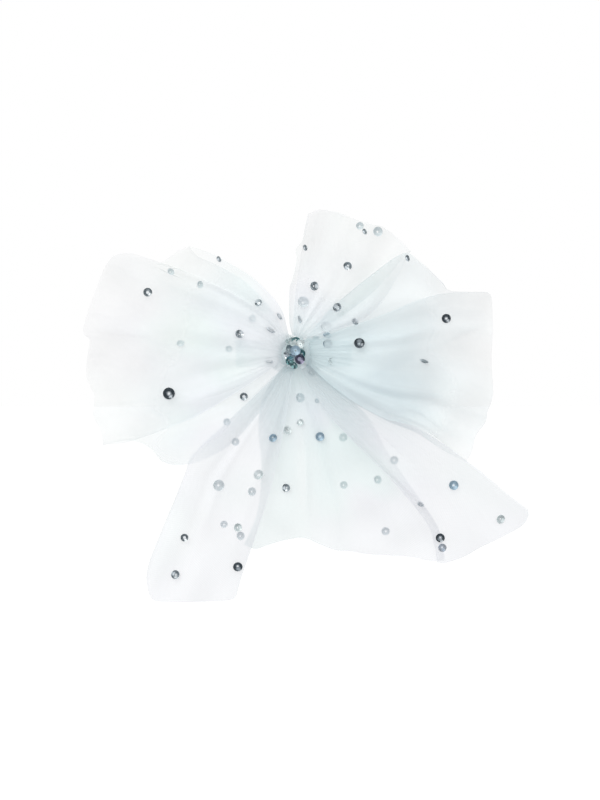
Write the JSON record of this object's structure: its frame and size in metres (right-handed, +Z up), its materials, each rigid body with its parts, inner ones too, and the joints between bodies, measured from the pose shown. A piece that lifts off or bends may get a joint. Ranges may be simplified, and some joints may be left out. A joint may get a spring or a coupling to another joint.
{
  "type": "hair bow",
  "caption": "Pale tulle hair bow with pleated loops and tails, scattered cup sequins, a sequinned knot and a ribbon-lined sprung clip behind.",
  "frame": {"origin": "middle of the front jaw's ribbon-lined grip face, where the clip holds the lock of hair; the knot's centre is straight in front of it", "axes": "+Z up, +X along the clip towards its finger tabs (the viewer's right), +Y towards the head; the bow faces -Y"},
  "size_m": [0.1557, 0.0335, 0.139],
  "materials": {
    "tulle": "matte",
    "wrap": "matte",
    "thread": "satin",
    "felt": "matte",
    "ribbon": "satin",
    "clip_lacquer": "satin",
    "clip_steel": "satin",
    "spring_steel": "satin",
    "silicone": "satin",
    "sequins": "polished",
    "knot_sequins": "polished"
  },
  "bodies": {
    "bow": {"binding_thread": "thread", "centre_tail": "tulle", "centre_wrap": "wrap", "clip_front_jaw": "clip_lacquer", "clip_front_ribbon": "ribbon", "clip_pivot_pin": "clip_steel", "clip_spring": "spring_steel", "felt_backing": "felt", "gathered_core": "tulle", "left_loop_back": "tulle", "left_loop_front": "tulle", "left_tail": "tulle", "right_loop_back": "tulle", "right_loop_front": "tulle", "right_tail": "tulle", "sequin_centre_tail_1": "sequins", "sequin_centre_tail_2": "sequins", "sequin_centre_tail_3": "sequins", "sequin_centre_tail_4": "sequins", "sequin_centre_tail_5": "sequins", "sequin_knot_1": "knot_sequins", "sequin_knot_2": "knot_sequins", "sequin_knot_3": "knot_sequins", "sequin_knot_4": "knot_sequins", "sequin_knot_5": "knot_sequins", "sequin_knot_6": "knot_sequins", "sequin_knot_7": "knot_sequins", "sequin_knot_8": "knot_sequins", "sequin_left_loop_back_1": "sequins", "sequin_left_loop_front_1": "sequins", "sequin_left_loop_front_2": "sequins", "sequin_left_loop_front_3": "sequins", "sequin_left_loop_front_4": "sequins", "sequin_left_loop_front_5": "sequins", "sequin_left_loop_front_6": "sequins", "sequin_left_tail_1": "sequins", "sequin_left_tail_2": "sequins", "sequin_left_tail_3": "sequins", "sequin_left_tail_4": "sequins", "sequin_left_tail_5": "sequins", "sequin_left_tail_6": "sequins", "sequin_right_loop_front_1": "sequins", "sequin_right_loop_front_2": "sequins", "sequin_right_loop_front_3": "sequins", "sequin_right_loop_front_4": "sequins", "sequin_right_tail_1": "sequins", "sequin_right_tail_2": "sequins", "sequin_right_tail_3": "sequins", "sequin_upper_right_loop_front_1": "sequins", "sequin_upper_right_loop_front_2": "sequins", "sequin_upper_right_loop_front_3": "sequins", "sequin_upper_right_loop_front_4": "sequins", "sequin_upper_right_loop_front_5": "sequins", "sequin_upper_right_loop_front_6": "sequins", "upper_right_loop_back": "tulle", "upper_right_loop_front": "tulle"},
    "back_jaw": {"clip_back_jaw": "clip_lacquer", "clip_back_ribbon": "ribbon", "clip_grip_pad": "silicone", "clip_spring_leg": "spring_steel"}
  },
  "joints": [
    {"name": "clip_hinge", "type": "hinge", "parent": "bow", "child": "back_jaw", "pos_m": [0.0075, 0.0032, 0], "axis": [0, 0, -1], "range_deg": [0, 40], "stiffness_Nm_per_rad": 0.06, "springref_deg": -74.48}
  ]
}
